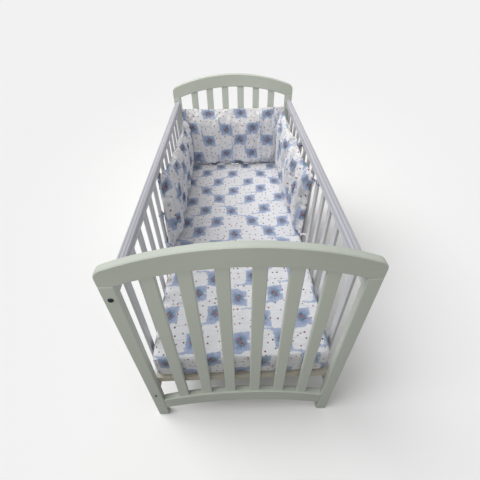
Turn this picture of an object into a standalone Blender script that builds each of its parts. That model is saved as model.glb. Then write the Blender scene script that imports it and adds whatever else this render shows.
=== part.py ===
"""A crib bumper in three padded sections, tied to the bars of the cot it stands in.

Metres, +Z up. The origin is on the floor under the middle of the cot. The cot's length lies along Y,
with the foot board at -Y and the head board at +Y, and the bumper stands round the head-end half.
"""

import math

import bmesh
import bpy
from mathutils import Vector

GAP = 0.0003  # running gap that touching pieces keep

# Cot, outer sizes
COT_LENGTH = 1.254
COT_WIDTH = 0.655
COT_HEIGHT = 0.9395

# End boards: legs, arched rails and flat bars
BOARD_THICK = 0.022
LEG_WIDTH = 0.038
ARCH_RADIUS = 0.82
ARCH_STEPS = 16
CORNER_RADIUS = 0.022
TOP_RAIL_HEIGHT = 0.0645
FOOT_RAIL_TOP = 0.192
FOOT_RAIL_HEIGHT = 0.071
EDGE_ROUND = 0.0025
END_BARS = 6
END_BAR_PITCH = 0.0846
END_BAR_WIDTH = 0.035
END_BAR_THICK = 0.012

# Side gates: two rails, 14 bars, and a moulded cap on the top rail
GATE_OFFSET = 0.3085
GATE_THICK = 0.0225
GATE_TOP = 0.7985
GATE_RAIL_HEIGHT = 0.040
GATE_FOOT_LOW = 0.180
GATE_FOOT_HEIGHT = 0.045
SIDE_BARS = 14
SIDE_BAR_PITCH = 0.0822
SIDE_BAR_WIDTH = 0.026
SIDE_BAR_THICK = 0.008
BAR_TENON = 0.006
RAIL_ROUND = 0.008
RAIL_SEGMENTS = 3
CAP_WALL = 0.0018
CAP_SKIRT = 0.017
CAP_GROOVES = (0.0045, -0.0045)  # two shallow lines along the top of the cap
GROOVE_WIDTH = 0.0012
GROOVE_DEPTH = 0.0006

# Mattress and its base
BASE_LOW = 0.250
BASE_HEIGHT = 0.028
BASE_BEARER = 0.024
BASE_SLATS = 11
BASE_SLAT_WIDTH = 0.050
BASE_SLAT_THICK = 0.010
BEARER_INSET = 0.001
SLAT_INSET = 0.002
MATTRESS_TOP = 0.400
MATTRESS_WIDTH = 0.591
MATTRESS_LENGTH = 1.200
MATTRESS_ROUND = 0.014
MATTRESS_CUTS = 9
CREASE_BAND = 0.002  # how far below the top the creases still move a point

# Bumper
PANEL_LOW = MATTRESS_TOP + 0.0005
HEAD_LOW = 0.3967  # beside the round of the mattress's end
HEAD_TOP = 0.762
SEAM_THICK = 0.005
SIDE_COLUMNS = 44
HEAD_COLUMNS = 36
PANEL_ROWS = 14

# Ties
TAPE_WIDTH = 0.007
TAPE_THICK = 0.0014
TAPE_TURN = 0.0012  # how sharply a tape turns a bar's corners
TAPE_ROOM = 0.0006  # between a tape and the bar it goes round
LEVEL_SHARE = 0.25  # share of the way to a lower knot that the tape stays level
KNOT_BEHIND = 0.006  # from a section's seam towards the bars
KNOT_SHAPE = (0.95, 0.95, 1.15)
EAR_DROOP = 0.004

# Bolt heads on the left legs
BOLT_RADIUS = 0.0075
SMALL_BOLT_RADIUS = 0.004
BOLT_PROUD = 0.0025
BOLT_HEIGHT = 0.773
SMALL_BOLT_HEIGHT = 0.188

HALF_LENGTH = COT_LENGTH / 2
HALF_WIDTH = COT_WIDTH / 2
INNER_END = HALF_LENGTH - BOARD_THICK
BAR_FACE = GATE_OFFSET - SIDE_BAR_THICK / 2  # inner face of the side bars, from the middle
GATE_FACE = GATE_OFFSET - GATE_THICK / 2
END_BAR_FACE = HALF_LENGTH - BOARD_THICK / 2 - END_BAR_THICK / 2

SIGNS = {"left": -1, "right": 1}

COLOURS = {
    "sage_paint": ((0.33, 0.37, 0.31), 0.45, 0.0),
    "white_paint": ((0.62, 0.62, 0.64), 0.4, 0.0),
    "white_moulding": ((0.66, 0.66, 0.69), 0.3, 0.0),
    "printed_cotton": ((0.62, 0.64, 0.70), 0.9, 0.0),
    "white_tape": ((0.75, 0.74, 0.76), 0.9, 0.0),
    "base_board": ((0.60, 0.61, 0.55), 0.6, 0.0),
    "dark_metal": ((0.04, 0.06, 0.06), 0.35, 0.9),
}


def clear_scene():
    for obj in list(bpy.data.objects):
        bpy.data.objects.remove(obj, do_unlink=True)


def new_collection(name):
    collection = bpy.data.collections.new(name)
    bpy.context.scene.collection.children.link(collection)
    return collection


def make_materials():
    for name, (colour, roughness, metallic) in COLOURS.items():
        material = bpy.data.materials.new(name)
        material.use_nodes = True
        shader = material.node_tree.nodes["Principled BSDF"]
        shader.inputs["Base Color"].default_value = (*colour, 1)
        shader.inputs["Roughness"].default_value = roughness
        shader.inputs["Metallic"].default_value = metallic


def add_object(name, data, material, smooth=False):
    """Links a mesh or curve as a sub-part, with its material."""
    obj = bpy.data.objects.new(name, data)
    parts.objects.link(obj)
    data.materials.append(bpy.data.materials[material])
    if smooth:
        data.shade_smooth()
        data.set_sharp_from_angle(angle=math.radians(40))
    return obj


def as_mesh(mesh, name):
    """Turns a bmesh into mesh data with its faces outwards."""
    bmesh.ops.recalc_face_normals(mesh, faces=mesh.faces[:])
    if mesh.calc_volume(signed=True) < 0:
        bmesh.ops.reverse_faces(mesh, faces=mesh.faces[:])
    data = bpy.data.meshes.new(name)
    mesh.to_mesh(data)
    mesh.free()
    return data


def boxes(corners):
    """A bmesh of one box for each pair of opposite corners."""
    mesh = bmesh.new()
    for low, high in corners:
        made = bmesh.ops.create_cube(mesh, size=1)["verts"]
        for vert in made:
            for axis in range(3):
                vert.co[axis] = high[axis] if vert.co[axis] > 0 else low[axis]
    return mesh


def bevel(obj, width, segments):
    modifier = obj.modifiers.new("rounded_edges", "BEVEL")
    modifier.width = width
    modifier.segments = segments
    modifier.limit_method = "ANGLE"


def union(obj, other_data):
    """Joins a mesh to the object, which stays one body."""
    other = bpy.data.objects.new(other_data.name, other_data)
    cutters.objects.link(other)
    other.hide_render = True
    other.display_type = "WIRE"
    modifier = obj.modifiers.new("joined_" + other.name, "BOOLEAN")
    modifier.operation = "UNION"
    modifier.object = other


def flat_outline(name, points, thick, material, y):
    """An upright board from a closed outline of (x, z) points, with its edges rounded."""
    curve = bpy.data.curves.new(name, "CURVE")
    curve.dimensions = "2D"
    curve.fill_mode = "BOTH"
    curve.extrude = thick / 2 - EDGE_ROUND
    curve.bevel_depth = EDGE_ROUND
    curve.bevel_resolution = 0
    curve.offset = -EDGE_ROUND
    spline = curve.splines.new("POLY")
    spline.points.add(len(points) - 1)
    for point, (x, z) in zip(spline.points, points):
        point.co = (x, z, 0, 1)
    spline.use_cyclic_u = True
    obj = add_object(name, curve, material)
    obj.location = (0, y, 0)
    obj.rotation_euler = (math.pi / 2, 0, 0)
    return obj


def arch(x, top):
    """Height at x of an arch whose middle is at top."""
    return top - ARCH_RADIUS + math.sqrt(ARCH_RADIUS**2 - x**2)


def arch_points(top, start, end, steps):
    return [
        (x, arch(x, top)) for x in (start + (end - start) * i / steps for i in range(steps + 1))
    ]


def rounded_corner(before, corner, after, steps=5):
    """Points of a quadratic curve that rounds a corner off."""
    points = []
    for i in range(steps + 1):
        t = i / steps
        a, b, c = (1 - t) ** 2, 2 * t * (1 - t), t * t
        points.append(tuple(a * p + b * q + c * r for p, q, r in zip(before, corner, after)))
    return points


def top_rail_outline():
    inner = HALF_WIDTH - LEG_WIDTH
    low = COT_HEIGHT - TOP_RAIL_HEIGHT
    joint = arch(inner, low)
    shoulder = HALF_WIDTH - CORNER_RADIUS
    corner = (HALF_WIDTH, arch(HALF_WIDTH, COT_HEIGHT))
    right = rounded_corner(
        (HALF_WIDTH, corner[1] - CORNER_RADIUS),
        corner,
        (shoulder, arch(shoulder, COT_HEIGHT)),
    )
    left = [(-x, z) for x, z in reversed(right)]
    over = arch_points(COT_HEIGHT, shoulder, -shoulder, ARCH_STEPS + 2)[1:-1]
    under = arch_points(low, -inner, inner, ARCH_STEPS)
    return [(HALF_WIDTH, joint)] + right + over + left + [(-HALF_WIDTH, joint)] + under


def bottom_rail_outline():
    reach = HALF_WIDTH - LEG_WIDTH - GAP
    over = arch_points(FOOT_RAIL_TOP, reach, -reach, ARCH_STEPS)
    under = arch_points(FOOT_RAIL_TOP - FOOT_RAIL_HEIGHT, -reach, reach, ARCH_STEPS)
    return over + under


def end_bar(name, x, y):
    """A flat bar whose ends are cut to the arches of the two rails."""
    half, thick = END_BAR_WIDTH / 2, END_BAR_THICK / 2
    mesh = boxes([((x - half, y - thick, 0), (x + half, y + thick, 1))])
    for vert in mesh.verts:
        if vert.co.z > 0.5:
            vert.co.z = arch(vert.co.x, COT_HEIGHT - TOP_RAIL_HEIGHT) - 2 * GAP
        else:
            vert.co.z = arch(vert.co.x, FOOT_RAIL_TOP) + GAP
    bevel(add_object(name, as_mesh(mesh, name), "sage_paint"), EDGE_ROUND, 1)


def end_board(end, y):
    """Legs, rails and bars of one end board, in the plane y."""
    half = BOARD_THICK / 2
    joint = arch(HALF_WIDTH - LEG_WIDTH, COT_HEIGHT - TOP_RAIL_HEIGHT)
    for side, sign in SIGNS.items():
        ends = sorted((sign * HALF_WIDTH, sign * (HALF_WIDTH - LEG_WIDTH)))
        name = f"{end}_leg_{side}"
        mesh = boxes([((ends[0], y - half, 0), (ends[1], y + half, joint - GAP))])
        bevel(add_object(name, as_mesh(mesh, name), "sage_paint"), EDGE_ROUND, 1)
    flat_outline(f"{end}_top_rail", top_rail_outline(), BOARD_THICK, "sage_paint", y)
    flat_outline(f"{end}_bottom_rail", bottom_rail_outline(), BOARD_THICK, "sage_paint", y)
    for number in range(END_BARS):
        x = (number - (END_BARS - 1) / 2) * END_BAR_PITCH
        end_bar(f"{end}_bar_{number + 1}", x, y)


def bolt(name, end_sign, z, radius):
    """A low round bolt head on the outer face of a left leg."""
    mesh = bmesh.new()
    bmesh.ops.create_cone(
        mesh, cap_ends=True, segments=16, radius1=radius, radius2=radius * 0.8, depth=BOLT_PROUD
    )
    data = as_mesh(mesh, name)
    obj = add_object(name, data, "dark_metal")
    x = -(HALF_WIDTH - LEG_WIDTH / 2)
    obj.location = (x, end_sign * (HALF_LENGTH + GAP + BOLT_PROUD / 2), z)
    obj.rotation_euler = (-end_sign * math.pi / 2, 0, 0)


def bar_places():
    return [(k - (SIDE_BARS - 1) / 2) * SIDE_BAR_PITCH for k in range(SIDE_BARS)]


def gate(side, sign):
    """A side gate: two rails and 14 bars, glued up as one grille."""
    reach = INNER_END - GAP
    near, far = GATE_OFFSET - GATE_THICK / 2, GATE_OFFSET + GATE_THICK / 2
    low_rail_top = GATE_FOOT_LOW + GATE_FOOT_HEIGHT
    rail_top = GATE_TOP - CAP_WALL - GAP
    rail_low = GATE_TOP - GATE_RAIL_HEIGHT

    def wide(y0, y1, z0, z1, x0=near, x1=far):
        xs = sorted((sign * x0, sign * x1))
        return (xs[0], y0, z0), (xs[1], y1, z1)

    name = f"gate_{side}"
    top = boxes([wide(-reach, reach, rail_low, rail_top)])
    obj = add_object(name, as_mesh(top, name), "white_paint")
    bevel(obj, RAIL_ROUND, RAIL_SEGMENTS)
    low_rail = boxes([wide(-reach, reach, GATE_FOOT_LOW, low_rail_top)])
    union(obj, as_mesh(low_rail, name + "_low_rail"))
    x0, x1 = GATE_OFFSET - SIDE_BAR_THICK / 2, GATE_OFFSET + SIDE_BAR_THICK / 2
    half = SIDE_BAR_WIDTH / 2
    bars = [
        wide(y - half, y + half, low_rail_top - BAR_TENON, rail_low + BAR_TENON, x0, x1)
        for y in bar_places()
    ]
    union(obj, as_mesh(boxes(bars), name + "_bars"))


def rail_cap(side, sign):
    """The thin moulded cap over a gate's top rail, as an inverted U along Y."""
    outer = GATE_THICK / 2 + GAP + CAP_WALL
    inner = GATE_THICK / 2 + GAP
    low = GATE_TOP - CAP_SKIRT
    roof = GATE_TOP - CAP_WALL
    turn = RAIL_ROUND
    right = rounded_corner((outer, GATE_TOP - turn), (outer, GATE_TOP), (outer - turn, GATE_TOP), 3)
    hollow = rounded_corner((inner - turn, roof), (inner, roof), (inner, roof - turn), 3)
    grooves = []
    for x in CAP_GROOVES:
        grooves += [
            (x + GROOVE_WIDTH / 2, GATE_TOP),
            (x, GATE_TOP - GROOVE_DEPTH),
            (x - GROOVE_WIDTH / 2, GATE_TOP),
        ]
    left = [(-x, z) for x, z in reversed(right)]
    outside = [(outer, low)] + right + grooves + left + [(-outer, low)]
    inside = [(-inner, low)] + [(-x, z) for x, z in reversed(hollow)] + hollow + [(inner, low)]
    curve = bpy.data.curves.new(f"rail_cap_{side}", "CURVE")
    curve.dimensions = "2D"
    curve.fill_mode = "BOTH"
    curve.extrude = INNER_END - GAP
    points = outside + inside
    spline = curve.splines.new("POLY")
    spline.points.add(len(points) - 1)
    for point, (x, z) in zip(spline.points, points):
        point.co = (x, z, 0, 1)
    spline.use_cyclic_u = True
    obj = add_object(f"rail_cap_{side}", curve, "white_moulding")
    obj.location = (sign * GATE_OFFSET, 0, 0)
    obj.rotation_euler = (math.pi / 2, 0, 0)


def mattress_base():
    """Two long bearers, two end bearers and the cross slats, as one flat frame."""
    reach = INNER_END - GAP
    half = GATE_FACE - GAP
    top = BASE_LOW + BASE_HEIGHT
    low = BASE_LOW
    ends = [
        ((-half, -reach, low), (half, -reach + BASE_BEARER, top)),
        ((-half, reach - BASE_BEARER, low), (half, reach, top)),
    ]
    out, long = half - BEARER_INSET, reach - BEARER_INSET
    side_low, side_top = low + BEARER_INSET, top - BEARER_INSET
    sides = [
        ((-out, -long, side_low), (-half + BASE_BEARER, long, side_top)),
        ((half - BASE_BEARER, -long, side_low), (out, long, side_top)),
    ]
    pitch = 2 * reach / (BASE_SLATS + 1)
    slats = []
    for number in range(BASE_SLATS):
        y = -reach + pitch * (number + 1)
        low_corner = (-half + SLAT_INSET, y - BASE_SLAT_WIDTH / 2, top - BASE_SLAT_THICK)
        slats.append((low_corner, (half - SLAT_INSET, y + BASE_SLAT_WIDTH / 2, top)))
    obj = add_object("mattress_base", as_mesh(boxes(sides), "mattress_base"), "base_board")
    union(obj, as_mesh(boxes(ends), "base_end_bearers"))
    union(obj, as_mesh(boxes(slats), "base_slats"))


def spread(t, share=0.55):
    """Moves even steps towards both ends, where a padded edge turns."""
    return (1 - share) * t + share * (0.5 - 0.5 * math.cos(math.pi * t))


# Soft creases across the mattress cover: place along Y, width, depth, lean across the bed
COVER_CREASES = (
    # at_y, width, depth, lean
    (-0.50, 0.030, 0.0030, 0.10),
    (-0.33, 0.045, 0.0025, -0.16),
    (-0.12, 0.038, 0.0030, 0.22),
    (0.10, 0.050, 0.0020, -0.10),
    (0.34, 0.040, 0.0025, 0.12),
)


def mattress():
    """A rounded block in its cover, flat where it rests, with shallow creases on top."""
    height = MATTRESS_TOP - BASE_LOW - BASE_HEIGHT - GAP
    half = (MATTRESS_WIDTH / 2, MATTRESS_LENGTH / 2, height / 2)
    middle = MATTRESS_TOP - half[2]
    mesh = bmesh.new()
    bmesh.ops.create_cube(mesh, size=2)
    bmesh.ops.subdivide_edges(mesh, edges=mesh.edges[:], cuts=MATTRESS_CUTS, use_grid_fill=True)
    for vert in mesh.verts:
        place = [h * (2 * spread((c + 1) / 2, 0.7) - 1) for h, c in zip(half, vert.co)]
        core = [max(-h + MATTRESS_ROUND, min(h - MATTRESS_ROUND, p)) for h, p in zip(half, place)]
        away = Vector([p - c for p, c in zip(place, core)])
        if away.length > 0:
            away = away.normalized() * MATTRESS_ROUND
        x, y, z = Vector(core) + away
        if z > half[2] - CREASE_BAND:
            for at_y, width, depth, lean in COVER_CREASES:
                z -= depth * math.exp(-(((y - at_y - lean * x) / width) ** 2))
        vert.co = (x, y, z + middle)
    data = as_mesh(mesh, "mattress")
    add_object("mattress", data, "printed_cotton", smooth=True)


def swell(distance, reach):
    """Quarter-round rise of a padded edge, from 0 at its seam to 1 at reach."""
    t = max(0.0, min(1.0, distance / reach))
    return math.sqrt(1 - (1 - t) ** 2)


def fold_height(folds, along, up):
    """Sum of the vertical folds at a place along the panel and a share up it."""
    height = 0.0
    for at, width, rise, lean, low, high in folds:
        inside = min(1.0, max(0.0, (up - low) / FOLD_FADE))
        inside *= min(1.0, max(0.0, (high - up) / FOLD_FADE))
        height += rise * inside * math.exp(-(((along - at - lean * (up - 0.5)) / width) ** 2))
    return height


FOLD_FADE = 0.15  # share of the height over which a fold runs out

# Folds of each section, as ridges (+) and troughs (-). at: metres from the corner seam, or from the
# middle on the head section; width and rise: metres; lean: metres that the fold shifts from bottom to
# top; low and high: the share of the height that it covers
LEFT_FOLDS = (
    # at, width, rise, lean, low, high
    (0.070, 0.015, -0.010, -0.010, 0.10, 1.10),
    (0.135, 0.020, 0.006, -0.015, 0.00, 1.00),
    (0.200, 0.016, -0.010, -0.020, 0.15, 1.10),
    (0.285, 0.022, 0.005, -0.025, -0.10, 0.95),
    (0.350, 0.015, -0.010, -0.030, -0.10, 1.10),
    (0.440, 0.022, 0.006, -0.040, 0.00, 0.90),
    (0.515, 0.016, -0.009, -0.050, -0.10, 0.90),
    (0.590, 0.018, 0.005, -0.070, -0.10, 1.00),
)
RIGHT_FOLDS = (
    # at, width, rise, lean, low, high
    (0.065, 0.014, -0.010, 0.010, 0.00, 1.10),
    (0.120, 0.018, 0.006, 0.015, 0.00, 1.00),
    (0.175, 0.014, -0.010, 0.020, -0.10, 0.90),
    (0.240, 0.018, 0.005, 0.030, -0.10, 0.85),
    (0.325, 0.017, -0.009, 0.170, 0.30, 1.10),
    (0.430, 0.030, 0.006, 0.120, 0.20, 0.95),
    (0.515, 0.018, -0.010, 0.180, 0.20, 1.10),
    (0.590, 0.018, -0.007, 0.050, -0.10, 0.50),
)
HEAD_FOLDS = (
    # at, width, rise, lean, low, high
    (-0.235, 0.012, -0.008, 0.010, -0.10, 1.10),
    (-0.200, 0.014, 0.004, 0.010, 0.00, 1.00),
    (-0.165, 0.012, -0.004, 0.015, 0.10, 0.80),
    (0.020, 0.050, -0.003, 0.020, -0.10, 0.60),
    (0.170, 0.013, -0.004, -0.012, 0.00, 0.85),
    (0.205, 0.014, 0.004, -0.010, 0.00, 1.00),
    (0.238, 0.012, -0.008, -0.010, -0.10, 1.10),
)


def padded_sheet(columns, rows):
    """A flat grid with its back, ready to be filled, and each point's (point, u, v, front)."""
    mesh = bmesh.new()
    bmesh.ops.create_grid(mesh, x_segments=columns, y_segments=rows, size=0.5)
    bmesh.ops.solidify(mesh, geom=mesh.faces[:], thickness=0.5)
    points = []
    for vert in mesh.verts:
        x, y, z = vert.co
        points.append((vert, spread(x + 0.5), spread(y + 0.5), abs(z) < 0.1))
    return mesh, points


# Side sections. top_end and low_end: where the front seam ends on Y; hollow: how far its middle is
# drawn in (-: bulges out); tip: how far its low corner is pulled out by its tie (-: drawn back);
# drawn and lift: how far that corner stands in from the bars, and up; full: the filled thickness
SIDE_SECTIONS = {
    "left": dict(
        top_end=-0.075, low_end=-0.148, hollow=-0.012, tip=0.004, drawn=0.004, lift=0.004, full=0.0495
    ),
    "right": dict(
        top_end=-0.104, low_end=-0.083, hollow=0.010, tip=-0.017, drawn=0.0175, lift=0.014, full=0.0535
    ),
}

# The top seam of each side section, which hangs in towards the bed between the places that hold it
TOP_SEAMS = {
    "left": (
        # y, height, depth from the bars
        (0.5965, 0.716, 0.0165),
        (0.480, 0.722, 0.030),
        (0.300, 0.730, 0.032),
        (0.130, 0.740, 0.030),
        (0.010, 0.752, 0.020),
        (-0.075, 0.756, 0.0125),
    ),
    "right": (
        # y, height, depth from the bars
        (0.5965, 0.754, 0.0165),
        (0.500, 0.762, 0.027),
        (0.330, 0.757, 0.031),
        (0.2055, 0.752, 0.0135),
        (0.100, 0.762, 0.026),
        (-0.015, 0.753, 0.016),
        (-0.060, 0.759, 0.020),
        (-0.104, 0.756, 0.0125),
    ),
}
CORNER_Y = 0.5965  # corner seam of the side sections
CORNER_REACH = 0.036  # from a corner seam to the full thickness
BACK_CLEARANCE = 0.0042  # room behind the panel for the ties round the bars
TIE_ROOM = 0.004  # more of that room at the front edge, where the tapes leave the knots
TIE_REACH = 0.030
TIP_SHARE = 0.16  # share of the height over which the low corner is pulled out
DRAWN_SHARE = 0.30  # share of the height over which it stands in from the bars
DRAWN_REACH = 0.110  # the same along the section
SIDE_SWELL = {"front": 0.055, "low": 0.045, "top": 0.110}  # from a seam to the full thickness
HEAD_SWELL = {"low": 0.040, "top": 0.100}
TOP_TAPER = 1.5  # how much flatter the filling runs out towards the top seam
RAIL_CLEARANCE = BAR_FACE - GATE_FACE + 3 * GAP  # the same below and beside the gate's top rail
RAIL_MARGIN = 0.012
SEAM_DEPTH = 0.012
BOTTOM_RISE = 0.004
SIDE_DROP = 0.0022  # how far the side sections sink beside the round of the mattress


def top_seam(side, y):
    """Height of a side section's top seam at y, and its depth from the bars."""
    rows = TOP_SEAMS[side]
    for (y0, height0, depth0), (y1, height1, depth1) in zip(rows, rows[1:]):
        if y >= y1:
            t = max(0.0, (y0 - y) / (y0 - y1))
            t = t * t * (3 - 2 * t)
            return height0 + (height1 - height0) * t, depth0 + (depth1 - depth0) * t
    return rows[-1][1:]


def front_edge(side, v):
    """Place on Y of a side section's front seam, at a share v of its height."""
    shape = SIDE_SECTIONS[side]
    edge = shape["low_end"] + (shape["top_end"] - shape["low_end"]) * v
    tip = shape["tip"] * max(0.0, 1 - v / TIP_SHARE) ** 2
    return edge + shape["hollow"] * math.sin(math.pi * v) - tip


def corner_share(side, y, v):
    """How far a place shares the low front corner's move: 1 at the corner, 0 beyond its reach."""
    along = max(0.0, 1 - (y - front_edge(side, v)) / DRAWN_REACH) ** 2
    return min(1.0, along) * max(0.0, 1 - v / DRAWN_SHARE) ** 2


def seam_depth(side, y, v):
    """Depth of a side section's seam from the bars: the top stands further in than the foot."""
    drawn = SIDE_SECTIONS[side]["drawn"] * corner_share(side, y, v)
    return SEAM_DEPTH + (top_seam(side, y)[1] - SEAM_DEPTH) * v**2 + drawn


def side_section(side, folds):
    """A side section: flat against the bars, filled and folded towards the bed."""
    full = SIDE_SECTIONS[side]["full"]
    mesh, points = padded_sheet(SIDE_COLUMNS, PANEL_ROWS)
    for vert, u, v, front in points:
        end = front_edge(side, v)
        y = CORNER_Y + (end - CORNER_Y) * u
        low = PANEL_LOW - SIDE_DROP + BOTTOM_RISE * math.sin(math.pi * u) ** 2
        low += SIDE_SECTIONS[side]["lift"] * corner_share(side, y, 0.0)
        top = top_seam(side, y)[0]
        z = low + (top - low) * v
        from_corner, from_front = CORNER_Y - y, y - end
        rise = min(1.0, from_corner / CORNER_REACH) * swell(from_front, SIDE_SWELL["front"])
        rise *= swell(z - low, SIDE_SWELL["low"]) * swell(top - z, SIDE_SWELL["top"]) ** TOP_TAPER
        seam = seam_depth(side, y, v)
        if front:
            depth = seam + SEAM_THICK / 2 + (full - SEAM_DEPTH) * rise
            depth += fold_height(folds, from_corner, v) * rise
        else:
            depth = seam - SEAM_THICK / 2 - (SEAM_DEPTH - SEAM_THICK / 2 - BACK_CLEARANCE) * rise
            beside_rail = z > GATE_TOP - GATE_RAIL_HEIGHT - RAIL_MARGIN
            beside_tie = TIE_ROOM * max(0.0, 1 - from_front / TIE_REACH)
            depth = max(depth, RAIL_CLEARANCE if beside_rail else BACK_CLEARANCE + beside_tie)
        vert.co = (SIGNS[side] * (BAR_FACE - depth), y, z)
    name = f"bumper_{side}"
    add_object(name, as_mesh(mesh, name), "printed_cotton", smooth=True)


HEAD_HALF = 0.294
CORNER_LAP = 0.012  # flat strip at each end, behind the side sections' corner seams
HEAD_FULL = 0.043
HEAD_SAG = 0.006
HEAD_CLEARANCE = 0.0022  # behind the head section, whose bars carry no tie in sight


def head_section():
    """The head section, between the two corner seams and against the head board."""
    mesh, points = padded_sheet(HEAD_COLUMNS, PANEL_ROWS)
    seam = END_BAR_FACE - CORNER_Y - SEAM_THICK / 2 - 2 * GAP
    for vert, u, v, front in points:
        x = HEAD_HALF * (2 * u - 1)
        low = HEAD_LOW
        top = HEAD_TOP - HEAD_SAG * math.sin(math.pi * u)
        z = low + (top - low) * v
        from_corner = max(0.0, HEAD_HALF - CORNER_LAP - abs(x))
        rise = min(1.0, from_corner / CORNER_REACH)
        rise *= swell(z - low, HEAD_SWELL["low"]) * swell(top - z, HEAD_SWELL["top"]) ** TOP_TAPER
        if front:
            depth = seam + SEAM_THICK / 2 + (HEAD_FULL - seam) * rise
            depth += fold_height(HEAD_FOLDS, x, v) * rise
        else:
            depth = seam - SEAM_THICK / 2 - (seam - SEAM_THICK / 2 - HEAD_CLEARANCE) * rise
        vert.co = (x, END_BAR_FACE - depth, z)
    add_object("bumper_head", as_mesh(mesh, "bumper_head"), "printed_cotton", smooth=True)


def tape(path, across, name, leaf=None, layers=1):
    """A flat tape along a path: a solid strip whose points are moved to the path's places."""
    mesh = bmesh.new()
    spans = len(path) - 1
    bmesh.ops.create_grid(mesh, x_segments=spans, y_segments=1, size=0.5)
    bmesh.ops.solidify(mesh, geom=mesh.faces[:], thickness=0.5)
    middle = sum(v.co.z for v in mesh.verts) / len(mesh.verts)
    for vert in mesh.verts:
        index = round((vert.co.x + 0.5) * spans)
        ahead = path[min(index + 1, spans)] - path[max(index - 1, 0)]
        thin = ahead.cross(Vector(across)).normalized() * TAPE_THICK * layers
        wide = thin.cross(ahead).normalized() * TAPE_WIDTH * (leaf[index] if leaf else 1)
        side = 0.5 if vert.co.z > middle else -0.5
        vert.co = path[index] + wide * vert.co.y + thin * side
    return as_mesh(mesh, name)


# Ties. bar: the bar's place, in pitches from the gate's middle towards the head; z: height of the tape
# on it; below: how much lower the knot sits; knot: how large it is; ends: the drop of its two free
# ends; ears: the reach of the bow's two loops
TIES = (
    # side, place, bar, z, below, knot, ends, ears
    ("left", "top", -0.5, 0.737, 0.0, 0.0058, (0.026, 0.019), 0.0),
    ("left", "middle", -1.5, 0.606, 0.0, 0.0062, (0.028, 0.022), 0.0),
    ("left", "low_bow", -1.5, 0.455, 0.0, 0.0062, (0.026, 0.022), 0.021),
    ("right", "middle", 2.5, 0.728, 0.0, 0.0052, (0.022, 0.018), 0.0),
    ("right", "top", -1.5, 0.738, 0.0, 0.0056, (0.024, 0.017), 0.0),
    ("right", "low_tape", -1.5, 0.447, 0.021, 0.0042, (0.012, 0.009), 0.0),
)
END_SWAY = (-0.0065, -0.0035)  # how far each free end swings out along Y
EAR_WAYS = ((0.40, -0.85, 0.05), (1.0, -0.25, 0.10))  # inwards, along Y, up
EAR_WIDTHS = (0.5, 1.0, 1.35, 1.2, 0.5)  # share of the tape's width, from the knot to the tip


def round_bar(sign, bar_y, z, knot):
    """Path of a tape from the knot, round the bar and back to the knot."""
    outside = abs(knot.x) > GATE_OFFSET
    clear = TAPE_ROOM + TAPE_THICK / 2
    near, far = BAR_FACE - clear, BAR_FACE + SIDE_BAR_THICK + clear
    reach = SIDE_BAR_WIDTH / 2 + clear
    turn = TAPE_TURN
    way = -1 if knot.y < bar_y else 1
    around = [
        (near, turn - reach),
        (near + turn, -reach),
        (far - turn, -reach),
        (far, turn - reach),
        (far, reach - turn),
        (far - turn, reach),
        (near + turn, reach),
    ]
    if abs(knot.y - bar_y) < reach:
        around.append((near, reach - turn))
    else:
        around.insert(0, (near - TAPE_THICK - GAP, reach - turn))
    if outside:
        around = [(2 * GATE_OFFSET - x, y) for x, y in around]
    apart = Vector(((-sign if outside else sign) * TAPE_THICK * 0.8, 0, 0))
    ring = [Vector((sign * x, bar_y + way * y, z)) for x, y in around]
    if knot.z < z:  # the tape leaves the bar level before it slopes down to the knot
        level = Vector((knot.x, knot.y, z))
        ring = [ring[0].lerp(level, LEVEL_SHARE)] + ring + [ring[-1].lerp(level, LEVEL_SHARE)]
    return [knot - apart] + ring + [knot + apart]


def edge_at(side, z):
    """Place on Y of a side section's front seam at height z, and its share of the height."""
    v = (z - PANEL_LOW) / (TOP_SEAMS[side][-1][1] - PANEL_LOW)
    return front_edge(side, v), v


def knot_place(side, place, bar_y, z, size):
    """Where the knot sits: at the front seam, or outside its bar on the right side's middle tie."""
    if (side, place) == ("right", "middle"):
        return BAR_FACE + SIDE_BAR_THICK + 2 * TAPE_THICK + size, bar_y
    y, v = edge_at(side, z)
    seam = seam_depth(side, y, v)
    behind = max(0.0, min(KNOT_BEHIND, seam - size - 3 * GAP))
    beside = max(0.0, behind - SEAM_THICK / 2)
    reach = KNOT_SHAPE[1] * size + 2 * GAP
    return BAR_FACE - seam + behind, y - math.sqrt(reach**2 - beside**2)


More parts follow.
